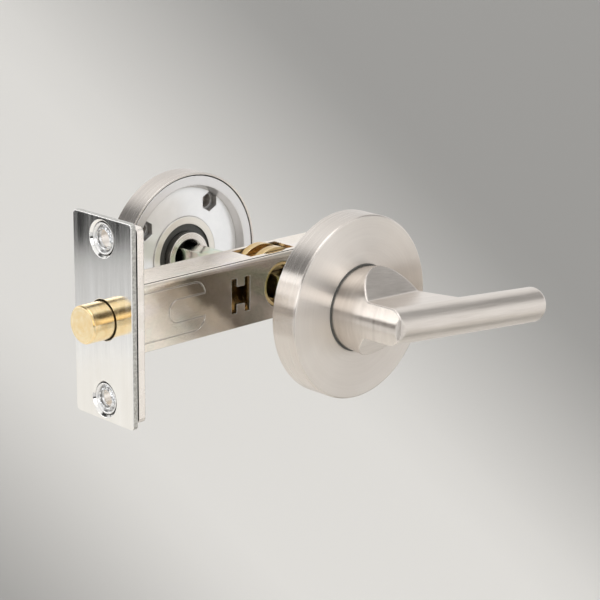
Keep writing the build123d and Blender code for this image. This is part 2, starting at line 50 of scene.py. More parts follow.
bpy.context.scene.view_settings.view_transform = "Standard"


# ---- Floor and light
# The lock hangs well above a pale studio floor, whose painted tone runs from light to grey on the
# slant: a painted fall-off of light.
# Soft light comes from white screens all round, which have strips and a dark gap on the left, a
# dark line behind the floor and two dim spots. One box of light hangs above.
def add_node(tree, kind, inputs=None, **settings):
    """Add a node, set it, and join or fill its inputs."""
    made = tree.nodes.new(kind)
    for name, value in settings.items():
        setattr(made, name, value)
    for name, value in (inputs or {}).items():
        if isinstance(value, bpy.types.NodeSocket):
            tree.links.new(value, made.inputs[name])
        else:
            made.inputs[name].default_value = value
    return made


def maths(tree, operation, *values):
    """A number worked out from numbers."""
    return add_node(
        tree, "ShaderNodeMath", dict(enumerate(values)), operation=operation
    ).outputs["Value"]


def vector_maths(tree, operation, *values):
    """A vector worked out from vectors, or their dot product or length."""
    made = add_node(tree, "ShaderNodeVectorMath", dict(enumerate(values)), operation=operation)
    gives_number = operation in ("DOT_PRODUCT", "LENGTH")
    return made.outputs["Value" if gives_number else "Vector"]


def rescale(tree, value, start, end, low=0.0, high=1.0, smooth=False):
    """A value that runs from low to high while the one given runs from start to end."""
    return add_node(
        tree, "ShaderNodeMapRange",
        {"Value": value, "From Min": start, "From Max": end, "To Min": low, "To Max": high},
        interpolation_type="SMOOTHSTEP" if smooth else "LINEAR",
    ).outputs["Result"]


def coordinates(tree, kind):
    """The coordinates of one kind, such as Object or Normal."""
    return add_node(tree, "ShaderNodeTexCoord").outputs[kind]


def parts_of(tree, vector):
    """A vector's X, Y and Z."""
    return add_node(tree, "ShaderNodeSeparateXYZ", {"Vector": vector}).outputs


def blend(tree, share, one, other, kind="MIX"):
    """Two colours mixed by a share."""
    return add_node(
        tree, "ShaderNodeMix", {"Factor": share, 6: one, 7: other}, data_type="RGBA",
        blend_type=kind,
    ).outputs[2]


def ramp(tree, value, stops, smooth=False):
    """A colour ramp with (place, colour) stops; a number stands for a grey."""
    made = add_node(tree, "ShaderNodeValToRGB", {"Fac": value})
    if smooth:
        made.color_ramp.interpolation = "EASE"
    elements = made.color_ramp.elements
    while len(elements) < len(stops):
        elements.new(0.5)
    for element, (place, tone) in zip(elements, stops):
        element.position = place
        level = tone if isinstance(tone, tuple) else (tone, tone, tone)
        element.color = (*level, 1)
    return made.outputs["Color"]


def colour(red, green, blue):
    """A colour from its linear parts."""
    return (red, green, blue, 1)


def grey(byte):
    """The linear value of a grey that shows as this screen value."""
    level = byte / 255
    return ((level + 0.055) / 1.055) ** 2.4


def new_finish(name, **shader_values):
    """A material with its shader, which is set to these values."""
    material = bpy.data.materials.new(name)
    material.use_nodes = True
    tree = material.node_tree
    tree.nodes.clear()
    shader = add_node(tree, "ShaderNodeBsdfPrincipled")
    for socket, value in shader_values.items():
        shader.inputs[socket.replace("_", " ")].default_value = value
    output = add_node(tree, "ShaderNodeOutputMaterial")
    tree.links.new(shader.outputs["BSDF"], output.inputs["Surface"])
    return material, tree, shader


floor_height = -0.75
floor_half_width = 2.24
floor_near = -1.35
floor_far = 9.0
look = camera_turn.to_3x3() @ Vector((0, 1, 0))
side = camera_turn.to_3x3() @ Vector((1, 0, 0))
floor_mesh = bpy.data.meshes.new("floor")
floor_mesh.from_pydata(
    [
        side * across + look * along + Vector((0, 0, floor_height))
        for across, along in (
            (-floor_half_width, floor_near),
            (floor_half_width, floor_near),
            (floor_half_width, floor_far),
            (-floor_half_width, floor_far),
        )
    ],
    [],
    [(0, 1, 2, 3)],
)
floor = bpy.data.objects.new("floor", floor_mesh)
bpy.context.scene.collection.objects.link(floor)

# The floor's screen values, a painted fall-off of light, go by the slant: how far right and up of
# the middle, in pixels, a place on the floor lies for a lens at the camera's place
picture_width = 600
least_depth = 0.3
slant_reach = 1200.0
slant_tones = (
    (-1200, 255), (-780, 255), (-640, 170), (-590, 168), (-535, 183), (-480, 198), (-420, 213),
    (-360, 225), (-300, 231), (-60, 231), (0, 224), (60, 210), (120, 195), (180, 178), (240, 162),
    (280, 158), (640, 158), (760, 220), (1200, 236),
)
floor_tint = (1.0, 0.989, 0.968)
view_axes = camera.matrix_world.to_3x3()
slant_axis = (view_axes.col[0] + view_axes.col[1]) * lens.lens / lens.sensor_width * picture_width
depth_axis = -view_axes.col[2]
floor_paint, tree, shader = new_finish("floor paint", Roughness=0.9)
place = coordinates(tree, "Object")
rise = vector_maths(tree, "DOT_PRODUCT", place, slant_axis)
rise = maths(tree, "SUBTRACT", rise, camera_place.dot(slant_axis))
depth = vector_maths(tree, "DOT_PRODUCT", place, depth_axis)
depth = maths(tree, "SUBTRACT", depth, camera_place.dot(depth_axis))
depth = maths(tree, "MAXIMUM", depth, least_depth)
slant = maths(tree, "DIVIDE", rise, depth)
floor_tone = ramp(
    tree,
    rescale(tree, slant, -slant_reach, slant_reach),
    [
        ((at / slant_reach + 1) / 2, tuple(grey(level * part) for part in floor_tint))
        for at, level in slant_tones
    ],
)
tree.links.new(floor_tone, shader.inputs["Base Color"])
floor_mesh.materials.append(floor_paint)


def at_height(degrees):
    """Where this height above the horizon lies in a ramp from straight down to straight up."""
    return (sin(radians(degrees)) + 1) / 2


def at_angle(degrees, whole=180):
    """Where this angle lies in a ramp over a half turn or a whole one."""
    return (degrees + whole / 2) / whole


# The screens all round, by their height above the horizon in degrees
world = bpy.data.worlds.new("studio")
bpy.context.scene.world = world
world.use_nodes = True
tree = world.node_tree
tree.nodes.clear()
direction = coordinates(tree, "Generated")
axes = parts_of(tree, direction)
height = rescale(tree, axes["Z"], -1.0, 1.0)
level_by_height = ((-30, 0.95), (8, 1.0), (24, 0.9), (90, 1.05))
screens = ramp(tree, height, [(at_height(at), level) for at, level in level_by_height])

# On the left, bright strips over a dark slit, and a dark gap higher up. They run level with the
# spindle and go by the angle about its axis, in degrees. The gap lies lower on the near side.
strips = (
    (-11, 1.0), (-10, 0.02), (-1, 0.02), (0, 2.4), (12, 2.1), (30, 1.8), (38, 1.65), (42, 1.0),
)
gap = ((38, 1.0), (40, 0.02), (59, 0.02), (67, 0.42), (77, 0.78), (90, 1.0))
gap_drop = 8
# Parts of a level direction: the X parts at which the left starts and is full, the Y parts at
# which the near side does, and by the Y part how much of each there is, none straight to the left
left_reach = (-0.17, -0.34)
near_reach = (-0.1, -0.4)
strips_reach = ((-0.45, 1.0), (-0.26, 0.0), (0.26, 0.0), (0.45, 1.0))
gap_reach = ((-0.5, 1.0), (-0.4, 0.0), (0.48, 0.0), (0.6, 1.0))
to_left = maths(tree, "MULTIPLY", axes["X"], -1.0)
about_spindle = maths(tree, "ARCTAN2", axes["Z"], to_left)
about_spindle = rescale(tree, about_spindle, radians(-90), radians(90))
level_direction = vector_maths(tree, "MULTIPLY", direction, (1, 1, 0))
level_direction = vector_maths(tree, "NORMALIZE", level_direction)
level_axes = parts_of(tree, level_direction)
on_left = rescale(tree, level_axes["X"], *left_reach, smooth=True)
sideways = rescale(tree, level_axes["Y"], -1.0, 1.0)
dropped = rescale(tree, level_axes["Y"], *near_reach, high=gap_drop / 180)
gap_angle = maths(tree, "ADD", about_spindle, dropped)
for stops, angle, reach in ((strips, about_spindle, strips_reach), (gap, gap_angle, gap_reach)):
    tone = ramp(tree, angle, [(at_angle(at), level) for at, level in stops])
    share = ramp(tree, sideways, [((at + 1) / 2, level) for at, level in reach])
    share = maths(tree, "MULTIPLY", share, on_left)
    screens = blend(tree, share, screens, tone, "MULTIPLY")

# A dark line behind the floor's end, by its height in degrees, where the faceplate looks. It
# keeps to one azimuth, and starts and is full at these cosines from it.
dark_line = (
    (-18.6, 0.97), (-17.4, 0.84), (-16.7, 0.64), (-15.7, 0.62), (-15.0, 0.58), (-14.6, 0.03),
    (-11, 0.03), (-10, 1.0),
)
line_azimuth = radians(124)
line_start = 0.965
line_full = 0.981
tone = ramp(tree, height, [(at_height(at), level) for at, level in dark_line])
line_heading = (cos(line_azimuth), sin(line_azimuth), 0)
share = vector_maths(tree, "DOT_PRODUCT", level_direction, line_heading)
share = rescale(tree, share, line_start, line_full, smooth=True)
screens = blend(tree, share, screens, tone, "MULTIPLY")

# Each dim spot: its turn and height in degrees, where it starts and is full, and what is left
dim_spots = ((-14, 31, 24, 10, 0.33), (-131, -20, 34, 16, 0.7))
for turn, up, outer, inner, left in dim_spots:
    toward_spot = Matrix.Rotation(radians(turn), 3, "Z") @ Vector(
        (cos(radians(up)), 0, sin(radians(up)))
    )
    spot = vector_maths(tree, "DOT_PRODUCT", direction, toward_spot)
    spot = rescale(tree, spot, cos(radians(outer)), cos(radians(inner)), 1.0, left, smooth=True)
    screens = blend(tree, 1.0, screens, spot, "MULTIPLY")

# The wall that shows past the floor's end is plain
seen = add_node(tree, "ShaderNodeLightPath").outputs["Is Camera Ray"]
shown = blend(tree, seen, screens, colour(grey(224), grey(222), grey(217)))
background = add_node(tree, "ShaderNodeBackground", {"Color": shown, "Strength": 1.0})
output = add_node(tree, "ShaderNodeOutputWorld")
tree.links.new(background.outputs[0], output.inputs["Surface"])

box_light = bpy.data.lights.new("box above", "AREA")
box_light.shape = "SQUARE"
box_light.size = 1.0
box_light.energy = 4.0
box_lamp = bpy.data.objects.new("box above", box_light)
bpy.context.scene.collection.objects.link(box_lamp)
box_place = Vector((-0.15, -0.35, 1.25))
box_lamp.matrix_world = (
    Matrix.Translation(box_place) @ box_place.to_track_quat("Z", "Y").to_matrix().to_4x4()
)


# ---- Mounting plate and faceplate
# A thick nickel-plated plate carries the case. Its two screw seats are pressed forward and have
# rough plated rims, which show in the dished holes of the satin stainless faceplate before it.
def new_group(name, inputs, outputs):
    """A shader node group, with what it is given and what it has to make."""
    group = bpy.data.node_groups.new(name, "ShaderNodeTree")
    for label, kind in inputs:
        group.interface.new_socket(label, in_out="INPUT", socket_type=kind)
    for label, kind in outputs:
        group.interface.new_socket(label, in_out="OUTPUT", socket_type=kind)
    given = group.nodes.new("NodeGroupInput").outputs
    result = group.nodes.new("NodeGroupOutput").inputs
    return group, given, result


def use_group(tree, group, inputs):
    """Place a node group in a material."""
    return add_node(tree, "ShaderNodeGroup", inputs, node_tree=group).outputs


def mix_values(tree, share, one, other):
    """Two numbers mixed by a share."""
    return add_node(tree, "ShaderNodeMix", {"Factor": share, 2: one, 3: other}).outputs[0]


# Where a noise has nearly all its values
noise_range = (0.35, 0.65)

# Straight brush lines. The pattern comes in stretched, so that its lines run along one axis.
straight_grain, given, result = new_group(
    "straight grain",
    [("Vector", "NodeSocketVector")],
    [("Height", "NodeSocketFloat"), ("Tone", "NodeSocketFloat")],
)
fine = add_node(
    straight_grain, "ShaderNodeTexNoise",
    {"Vector": given["Vector"], "Scale": 1.0, "Detail": 3.0, "Roughness": 0.65},
)
broad = add_node(
    straight_grain, "ShaderNodeTexNoise",
    {"Vector": given["Vector"], "Scale": 0.22, "Detail": 2.0},
)
streaks = mix_values(straight_grain, 0.45, fine.outputs["Fac"], broad.outputs["Fac"])
straight_grain.links.new(streaks, result["Height"])
straight_grain.links.new(rescale(straight_grain, streaks, *noise_range), result["Tone"])

# Rounded, rubbed edges: how far the edge's softened normal turns from the face's own. The finishes
# lighten their tone along it, as rubbed wear and a painted highlight.
rubbed_edge_and_highlight, given, result = new_group(
    "rubbed edge",
    [("Width", "NodeSocketFloat")],
    [("Edge", "NodeSocketFloat"), ("Normal", "NodeSocketVector")],
)
softened = add_node(
    rubbed_edge_and_highlight, "ShaderNodeBevel", {"Radius": given["Width"]}, samples=6
).outputs["Normal"]
own = add_node(rubbed_edge_and_highlight, "ShaderNodeNewGeometry").outputs["Normal"]
alike = vector_maths(rubbed_edge_and_highlight, "DOT_PRODUCT", softened, own)
rubbed_edge_and_highlight.links.new(rescale(rubbed_edge_and_highlight, alike, 0.99, 0.78), result["Edge"])
rubbed_edge_and_highlight.links.new(softened, result["Normal"])

# Handling marks and plating clouds: soft patches of one size
clouds, given, result = new_group(
    "clouds",
    [("Vector", "NodeSocketVector"), ("Size", "NodeSocketFloat")],
    [("Patch", "NodeSocketFloat"), ("Colour", "NodeSocketColor")],
)
per_metre = maths(clouds, "DIVIDE", 1.0, given["Size"])
patches = add_node(
    clouds, "ShaderNodeTexNoise",
    {"Vector": given["Vector"], "Scale": per_metre, "Detail": 4.0, "Roughness": 0.55,
     "Distortion": 0.4},
).outputs
patch = rescale(clouds, patches["Fac"], 0.38, 0.64, smooth=True)
clouds.links.new(patch, result["Patch"])
clouds.links.new(patches["Color"], result["Colour"])

# Painted shade in narrow places: how little open room a spot has within its reach
deep_shade, given, result = new_group(
    "deep shade", [("Reach", "NodeSocketFloat")], [("Shade", "NodeSocketFloat")]
)
open_room = add_node(
    deep_shade, "ShaderNodeAmbientOcclusion", {"Distance": given["Reach"]}, samples=8
).outputs["AO"]
deep_shade.links.new(rescale(deep_shade, open_room, 0.8, 0.3), result["Shade"])


def placed(tree, scale=(1, 1, 1), turn=(0, 0, 0), centre=(0, 0, 0)):
    """The piece's own coordinates about a centre, turned and then stretched."""
    place = coordinates(tree, "Object")
    if any(centre):
        place = vector_maths(tree, "SUBTRACT", place, centre)
    if any(turn):
        place = add_node(
            tree, "ShaderNodeMapping", {"Vector": place, "Rotation": turn}
        ).outputs["Vector"]
    return add_node(tree, "ShaderNodeMapping", {"Vector": place, "Scale": scale}).outputs["Vector"]


def facing(tree, axis, start, end, either_way=False):
    """How far the surface faces along an axis: none of it at start, all of it at end."""
    part = parts_of(tree, coordinates(tree, "Normal"))[axis]
    if either_way:
        part = maths(tree, "ABSOLUTE", part)
    return rescale(tree, part, start, end)


def between(tree, value, low, high):
    """A value from 0 to 1 spread from low to high."""
    return rescale(tree, value, 0.0, 1.0, low, high)


def lay_over(tree, tone, mask, most, other):
    """Another colour laid over the tone where the mask is, up to a share."""
    return blend(tree, between(tree, mask, 0.0, most), tone, other)


def paint(tree, shader, tone, roughness):
    """Give the surface its colour and its roughness."""
    tree.links.new(tone, shader.inputs["Base Color"])
    tree.links.new(roughness, shader.inputs["Roughness"])


def add_relief(tree, shader, height, depth, normal=None):
    """Raise the surface by a pattern of this depth in metres, over softened edges if given."""
    relief = add_node(tree, "ShaderNodeBump", {"Height": height, "Distance": depth})
    if normal is not None:
        tree.links.new(normal, relief.inputs["Normal"])
    tree.links.new(relief.outputs["Normal"], shader.inputs["Normal"])


def dress(material, *names):
    """Give CAD nodes this material."""
    for name in names:
        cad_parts[name].material_slots[0].material = material


faceplate_finish, tree, shader = new_finish(
    "brushed faceplate", Metallic=1.0, Anisotropic=0.9, Anisotropic_Rotation=0.25
)
lines = use_group(tree, straight_grain, {"Vector": placed(tree, (2400, 2400, 90))})
edge = use_group(tree, rubbed_edge_and_highlight, {"Width": 0.0003})
marks = use_group(tree, clouds, {"Vector": placed(tree, (1, 1, 0.6)), "Size": 0.012})
shade = use_group(tree, deep_shade, {"Reach": 0.0007})
tone = blend(tree, lines["Tone"], colour(0.90, 0.885, 0.855), colour(0.98, 0.97, 0.945))
tone = lay_over(tree, tone, marks["Patch"], 0.15, colour(0.84, 0.81, 0.76))
# Its sheared sides are duller and rougher than its face
sheared = facing(tree, "X", 0.7, 0.3, either_way=True)
grit = use_group(tree, clouds, {"Vector": placed(tree), "Size": 0.0005})
grit = blend(tree, grit["Patch"], colour(0.46, 0.45, 0.42), colour(0.68, 0.67, 0.63))
tone = blend(tree, sheared, tone, grit)
# Rubbed wear and a painted highlight lighten its edges
tone = lay_over(tree, tone, edge["Edge"], 0.8, colour(1.0, 0.99, 0.97))
tone = lay_over(tree, tone, shade["Shade"], 0.8, colour(0.08, 0.075, 0.07))
roughness = mix_values(tree, sheared, between(tree, lines["Tone"], 0.08, 0.16), 0.35)
paint(tree, shader, tone, roughness)
brush_lines = add_node(tree, "ShaderNodeCombineXYZ", {"Z": 1.0})
tree.links.new(brush_lines.outputs["Vector"], shader.inputs["Tangent"])
add_relief(tree, shader, lines["Height"], 0.000006, edge["Normal"])
dress(faceplate_finish, "faceplate")

plate_finish, tree, shader = new_finish("cream nickel plate", Metallic=1.0)
lines = use_group(tree, straight_grain, {"Vector": placed(tree, (2600, 2600, 400))})
edge = use_group(tree, rubbed_edge_and_highlight, {"Width": 0.0004})
marks = use_group(tree, clouds, {"Vector": placed(tree), "Size": 0.006})
shade = use_group(tree, deep_shade, {"Reach": 0.002})
tone = blend(tree, lines["Tone"], colour(0.95, 0.885, 0.82), colour(1.0, 0.945, 0.885))
tone = lay_over(tree, tone, marks["Patch"], 0.2, colour(0.80, 0.73, 0.66))
# Rubbed wear and a painted highlight lighten its edges
tone = blend(tree, edge["Edge"], tone, colour(0.97, 0.93, 0.88))
# The pressed seats stand in front of the plate and are whiter
seat_start = -0.0002
forward = parts_of(tree, coordinates(tree, "Object"))["X"]
on_seat = maths(tree, "LESS_THAN", forward, seat_start)
tone = blend(tree, on_seat, tone, colour(0.93, 0.92, 0.91))
tone = lay_over(tree, tone, shade["Shade"], 0.9, colour(0.05, 0.045, 0.04))
paint(tree, shader, tone, between(tree, marks["Patch"], 0.22, 0.32))
add_relief(tree, shader, lines["Height"], 0.000008, edge["Normal"])
dress(plate_finish, "mounting_plate")

# The rough rims of the screw seats: a ring of plating crumbs over each seat's cone
rim_finish, tree, shader = new_finish("crumbled plating", Metallic=1.0, Roughness=0.2)
crumbs = add_node(
    tree, "ShaderNodeTexVoronoi", {"Vector": placed(tree), "Scale": 2000.0}
).outputs
dirt = use_group(tree, clouds, {"Vector": placed(tree), "Size": 0.0009})
shade = use_group(tree, deep_shade, {"Reach": 0.0012})
tone = ramp(tree, crumbs["Color"], [(0.2, 0.45), (0.4, (0.84, 0.86, 0.88)), (0.7, 1.0)])
tone = lay_over(tree, tone, dirt["Patch"], 0.3, colour(0.22, 0.21, 0.20))
tone = lay_over(tree, tone, shade["Shade"], 0.5, colour(0.05, 0.045, 0.04))
tree.links.new(tone, shader.inputs["Base Color"])
add_relief(tree, shader, crumbs["Distance"], 0.00012)

rim_tree = bpy.data.node_groups.new("screw seat rims", "GeometryNodeTree")
rim_sizes = {
    "Rim radius": 0.0033,
    "Rim width": 0.0021,
    "Rim thickness": 0.00036,
    "Rim depth": -0.00098,
    "Crumb height": 0.00075,
    "Crumbs per metre": 1500.0,
    "Screw spacing": 0.0448,
}
points_round_rim = 150
points_round_section = 26
for label in rim_sizes:
    rim_tree.interface.new_socket(label, in_out="INPUT", socket_type="NodeSocketFloat")
rim_tree.interface.new_socket("Geometry", in_out="OUTPUT", socket_type="NodeSocketGeometry")
given = rim_tree.nodes.new("NodeGroupInput").outputs
result = rim_tree.nodes.new("NodeGroupOutput").inputs
path = add_node(
    rim_tree, "GeometryNodeCurvePrimitiveCircle",
    {"Resolution": points_round_rim, "Radius": given["Rim radius"]},
)
section = add_node(
    rim_tree, "GeometryNodeCurvePrimitiveQuadrilateral",
    {"Width": given["Rim width"], "Height": given["Rim thickness"]},
)
section = add_node(
    rim_tree, "GeometryNodeTransform",
    {"Geometry": section.outputs["Curve"], "Rotation": (0, 0, radians(45))},
)
section = add_node(
    rim_tree, "GeometryNodeResampleCurve",
    {"Curve": section.outputs["Geometry"], "Count": points_round_section},
)
ring = add_node(
    rim_tree, "GeometryNodeCurveToMesh",
    {"Curve": path.outputs["Curve"], "Profile Curve": section.outputs["Curve"]},
)
crumb_noise = add_node(
    rim_tree, "ShaderNodeTexNoise", {"Scale": given["Crumbs per metre"], "Detail": 2.0}
)
crumb_height = maths(rim_tree, "SUBTRACT", crumb_noise.outputs["Fac"], 0.5)
crumb_height = maths(rim_tree, "MULTIPLY", crumb_height, given["Crumb height"])
# The side towards the lever is smoother
smooth_side = -0.002
rough_side = 0.001
smooth_share = 0.15
place = add_node(rim_tree, "GeometryNodeInputPosition").outputs["Position"]
roughened = parts_of(rim_tree, place)["Y"]
roughened = rescale(rim_tree, roughened, smooth_side, rough_side, smooth_share)
crumb_height = maths(rim_tree, "MULTIPLY", crumb_height, roughened)
lift = add_node(
    rim_tree, "ShaderNodeVectorMath",
    {0: add_node(rim_tree, "GeometryNodeInputNormal").outputs["Normal"], "Scale": crumb_height},
    operation="SCALE",
)
ring = add_node(
    rim_tree, "GeometryNodeSetPosition",
    {"Geometry": ring.outputs["Mesh"], "Offset": lift.outputs[0]},
)
ring = add_node(
    rim_tree, "GeometryNodeTransform",
    {"Geometry": ring.outputs["Geometry"], "Rotation": (0, radians(-90), 0)},
)
spots = add_node(rim_tree, "GeometryNodeMeshLine", {"Count": 2}, mode="END_POINTS")
half = maths(rim_tree, "MULTIPLY", given["Screw spacing"], 0.5)
low = maths(rim_tree, "MULTIPLY", half, -1.0)
for end, level in (("Start Location", low), ("Offset", half)):
    spot = add_node(rim_tree, "ShaderNodeCombineXYZ", {"X": given["Rim depth"], "Z": level})
    rim_tree.links.new(spot.outputs[0], spots.inputs[end])
rims = add_node(
    rim_tree, "GeometryNodeInstanceOnPoints",
    {"Points": spots.outputs["Mesh"], "Instance": ring.outputs["Geometry"]},
)
rims = add_node(rim_tree, "GeometryNodeRealizeInstances", {"Geometry": rims.outputs["Instances"]})
rims = add_node(
    rim_tree, "GeometryNodeSetMaterial",
    {"Geometry": rims.outputs["Geometry"], "Material": rim_finish},
)
rim_tree.links.new(rims.outputs["Geometry"], result["Geometry"])


def grow(name, node_tree, sizes):
    """Run a geometry tree with these sizes and keep what it makes as a plain mesh."""
    seed = bpy.data.objects.new(name, bpy.data.meshes.new(name + " seed"))
    bpy.context.scene.collection.objects.link(seed)
    modifier = seed.modifiers.new("grow", "NODES")
    modifier.node_group = node_tree
    for item in node_tree.interface.items_tree:
        if item.in_out == "INPUT" and item.name in sizes:
            modifier[item.identifier] = sizes[item.name]
    graph = bpy.context.evaluated_depsgraph_get()
    made = bpy.data.meshes.new_from_object(seed.evaluated_get(graph), depsgraph=graph)
    made.name = name
    seed.modifiers.remove(modifier)
    seed.data = made
    return seed


seat_rims = grow("screw_seat_rims", rim_tree, rim_sizes)
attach(seat_rims, "lock_body")


# ---- Case
# One sheet of nickel-plated steel, folded round and seamed along the near top edge. The plating
# has clouds of faint green and pink. The guide block and the detent spring are inside it.
case_finish, tree, shader = new_finish("clouded nickel", Metallic=1.0)
skin = use_group(tree, clouds, {"Vector": placed(tree, (0.6, 1, 1)), "Size": 0.0007})
edge = use_group(tree, rubbed_edge_and_highlight, {"Width": 0.00022})
big = use_group(tree, clouds, {"Vector": placed(tree, (0.6, 1, 1)), "Size": 0.011})
shade = use_group(tree, deep_shade, {"Reach": 0.0016})
hue = add_node(tree, "ShaderNodeSeparateColor", {"Color": big["Colour"]}).outputs["Green"]
tint = ramp(
    tree, hue,
    [(0.30, (0.92, 0.86, 0.84)), (0.44, (0.94, 0.87, 0.79)), (0.56, (0.92, 0.85, 0.76)),
     (0.70, (0.86, 0.86, 0.77))],
)
# The near side carries a painted reflection of the front rose's back: bright by the plate, and
# dark and brownish past the pressed mark
reflection_length = 0.05
cloud_wave = 0.004
near_side = facing(tree, "Y", -0.5, -0.9)
place = parts_of(tree, coordinates(tree, "Object"))
along = maths(tree, "ADD", place["Z"], place["X"])
along = maths(tree, "MULTIPLY_ADD", big["Patch"], cloud_wave, along)
near_side_reflection = ramp(
    tree, rescale(tree, along, 0.0, reflection_length),
    [(0.30, (1.0, 0.99, 0.97)), (0.44, (0.76, 0.72, 0.67)), (0.53, (0.68, 0.62, 0.54)),
     (0.67, (0.25, 0.22, 0.19)), (0.78, (0.31, 0.28, 0.25)), (0.92, (0.46, 0.42, 0.39))],
    smooth=True,
)
near_side_reflection = blend(tree, near_side, colour(0.98, 0.97, 0.96), near_side_reflection)
tone = lay_over(tree, tint, skin["Patch"], 0.12, colour(0.62, 0.56, 0.48))
# The painted reflection is multiplied into the plating's tone
tone = blend(tree, 1.0, tone, near_side_reflection, "MULTIPLY")
# Rubbed wear and a painted highlight lighten its edges
tone = blend(tree, edge["Edge"], tone, colour(0.97, 0.93, 0.87))
tone = lay_over(tree, tone, shade["Shade"], 0.9, colour(0.06, 0.05, 0.04))
paint(tree, shader, tone, between(tree, skin["Patch"], 0.20, 0.27))
add_relief(tree, shader, skin["Patch"], 0.000004, edge["Normal"])
dress(case_finish, "case_shell")

guide_finish, tree, shader = new_finish("machined guide", Metallic=1.0)
lines = use_group(tree, straight_grain, {"Vector": placed(tree, (900, 3000, 3000))})
tone = blend(tree, lines["Tone"], colour(0.36, 0.35, 0.33), colour(0.52, 0.50, 0.47))
paint(tree, shader, tone, between(tree, lines["Tone"], 0.3, 0.45))
add_relief(tree, shader, lines["Height"], 0.00002)
dress(guide_finish, "bolt_guide")

spring_finish, tree, shader = new_finish("bright spring steel", Metallic=1.0)
lines = use_group(tree, straight_grain, {"Vector": placed(tree, (2600, 2600, 300))})
edge = use_group(tree, rubbed_edge_and_highlight, {"Width": 0.0002})
tone = blend(tree, lines["Tone"], colour(0.50, 0.49, 0.47), colour(0.62, 0.61, 0.59))
# Rubbed wear and a painted highlight lighten its edges
tone = blend(tree, edge["Edge"], tone, colour(0.80, 0.79, 0.77))
paint(tree, shader, tone, between(tree, lines["Tone"], 0.2, 0.3))
add_relief(tree, shader, lines["Height"], 0.00001, edge["Normal"])
dress(spring_finish, "detent_spring", "tail_pins", "crank_pin", "clip_washer", "spring_clip")


# ---- Bolt
# A brass bar, turned on a lathe, with tool rings on its end and fine rings round its side. It
# slides in the guide, and its slotted back end is pinned to the blanked brass tail.

# Turned rings. The pattern comes in centred, with the turning axis along its own Z.
turned_grain, given, result = new_group(
    "turned grain",
    [("Vector", "NodeSocketVector"), ("Per metre", "NodeSocketFloat")],
    [("Height", "NodeSocketFloat"), ("Tone", "NodeSocketFloat")],
)
# It changes this much on its way round.
change_round = 1.4
outward = vector_maths(turned_grain, "MULTIPLY", given["Vector"], (1, 1, 0))
rings = vector_maths(turned_grain, "LENGTH", outward)
rings = maths(turned_grain, "MULTIPLY", rings, given["Per metre"])
heading = vector_maths(turned_grain, "NORMALIZE", outward)
heading = add_node(
    turned_grain, "ShaderNodeVectorMath", {0: heading, "Scale": change_round}, operation="SCALE"
).outputs["Vector"]
along = parts_of(turned_grain, given["Vector"])["Z"]
along = maths(turned_grain, "MULTIPLY", along, given["Per metre"])
along = add_node(turned_grain, "ShaderNodeCombineXYZ", {"Z": along}).outputs["Vector"]
spot = vector_maths(turned_grain, "ADD", heading, along)
fine = add_node(
    turned_grain, "ShaderNodeTexNoise", {"Vector": spot, "W": rings, "Scale": 1.0, "Detail": 3.0},
    noise_dimensions="4D",
)
broad = add_node(
    turned_grain, "ShaderNodeTexNoise", {"Vector": spot, "W": rings, "Scale": 0.2, "Detail": 2.0},
    noise_dimensions="4D",
)
streaks = mix_values(turned_grain, 0.4, fine.outputs["Fac"], broad.outputs["Fac"])
turned_grain.links.new(streaks, result["Height"])
turned_grain.links.new(rescale(turned_grain, streaks, *noise_range), result["Tone"])

along_x = (0, radians(-90), 0)
bolt_finish, tree, shader = new_finish("turned brass", Metallic=1.0)
rings = use_group(
    tree, turned_grain, {"Vector": placed(tree, turn=along_x), "Per metre": 3200.0}
)
edge = use_group(tree, rubbed_edge_and_highlight, {"Width": 0.0005})
marks = use_group(tree, clouds, {"Vector": placed(tree), "Size": 0.002})
tone = blend(tree, rings["Tone"], colour(0.96, 0.73, 0.40), colour(1.0, 0.86, 0.57))
tone = lay_over(tree, tone, marks["Patch"], 0.3, colour(0.88, 0.58, 0.22))
# The near side carries a painted reflection: a darker amber band, by its angle from the top, in
# degrees
reflection_band_by_angle = ((42, 0.0), (54, 0.45), (74, 0.85), (79, 0.85), (83, 0.0))
place = parts_of(tree, coordinates(tree, "Object"))
nearward = maths(tree, "MULTIPLY", place["Y"], -1.0)
from_top = maths(tree, "ARCTAN2", nearward, place["Z"])
from_top = rescale(tree, from_top, radians(-180), radians(180))
reflection_band = ramp(tree, from_top, [(at_angle(at, 360), level) for at, level in reflection_band_by_angle])
on_end = facing(tree, "X", -0.8, -0.95)
reflection_band = maths(tree, "MULTIPLY", reflection_band, maths(tree, "SUBTRACT", 1.0, on_end))
tone = blend(tree, reflection_band, tone, colour(0.60, 0.38, 0.13))
# Rubbed wear and a painted highlight lighten its edges
tone = blend(tree, edge["Edge"], tone, colour(1.0, 0.93, 0.70))
paint(tree, shader, tone, between(tree, rings["Tone"], 0.17, 0.27))
tree.links.new(between(tree, on_end, 1.0, 0.3), shader.inputs["Metallic"])
add_relief(tree, shader, rings["Height"], 0.000016, edge["Normal"])
dress(bolt_finish, "bolt")

inner_brass, tree, shader = new_finish("machined inner brass", Metallic=1.0)
lines = use_group(tree, straight_grain, {"Vector": placed(tree, (2400, 2400, 2400))})
edge = use_group(tree, rubbed_edge_and_highlight, {"Width": 0.0003})
oil = use_group(tree, clouds, {"Vector": placed(tree), "Size": 0.003})
shade = use_group(tree, deep_shade, {"Reach": 0.0015})
tone = blend(tree, lines["Tone"], colour(0.80, 0.55, 0.24), colour(0.93, 0.70, 0.37))
tone = lay_over(tree, tone, oil["Patch"], 0.5, colour(0.42, 0.28, 0.12))
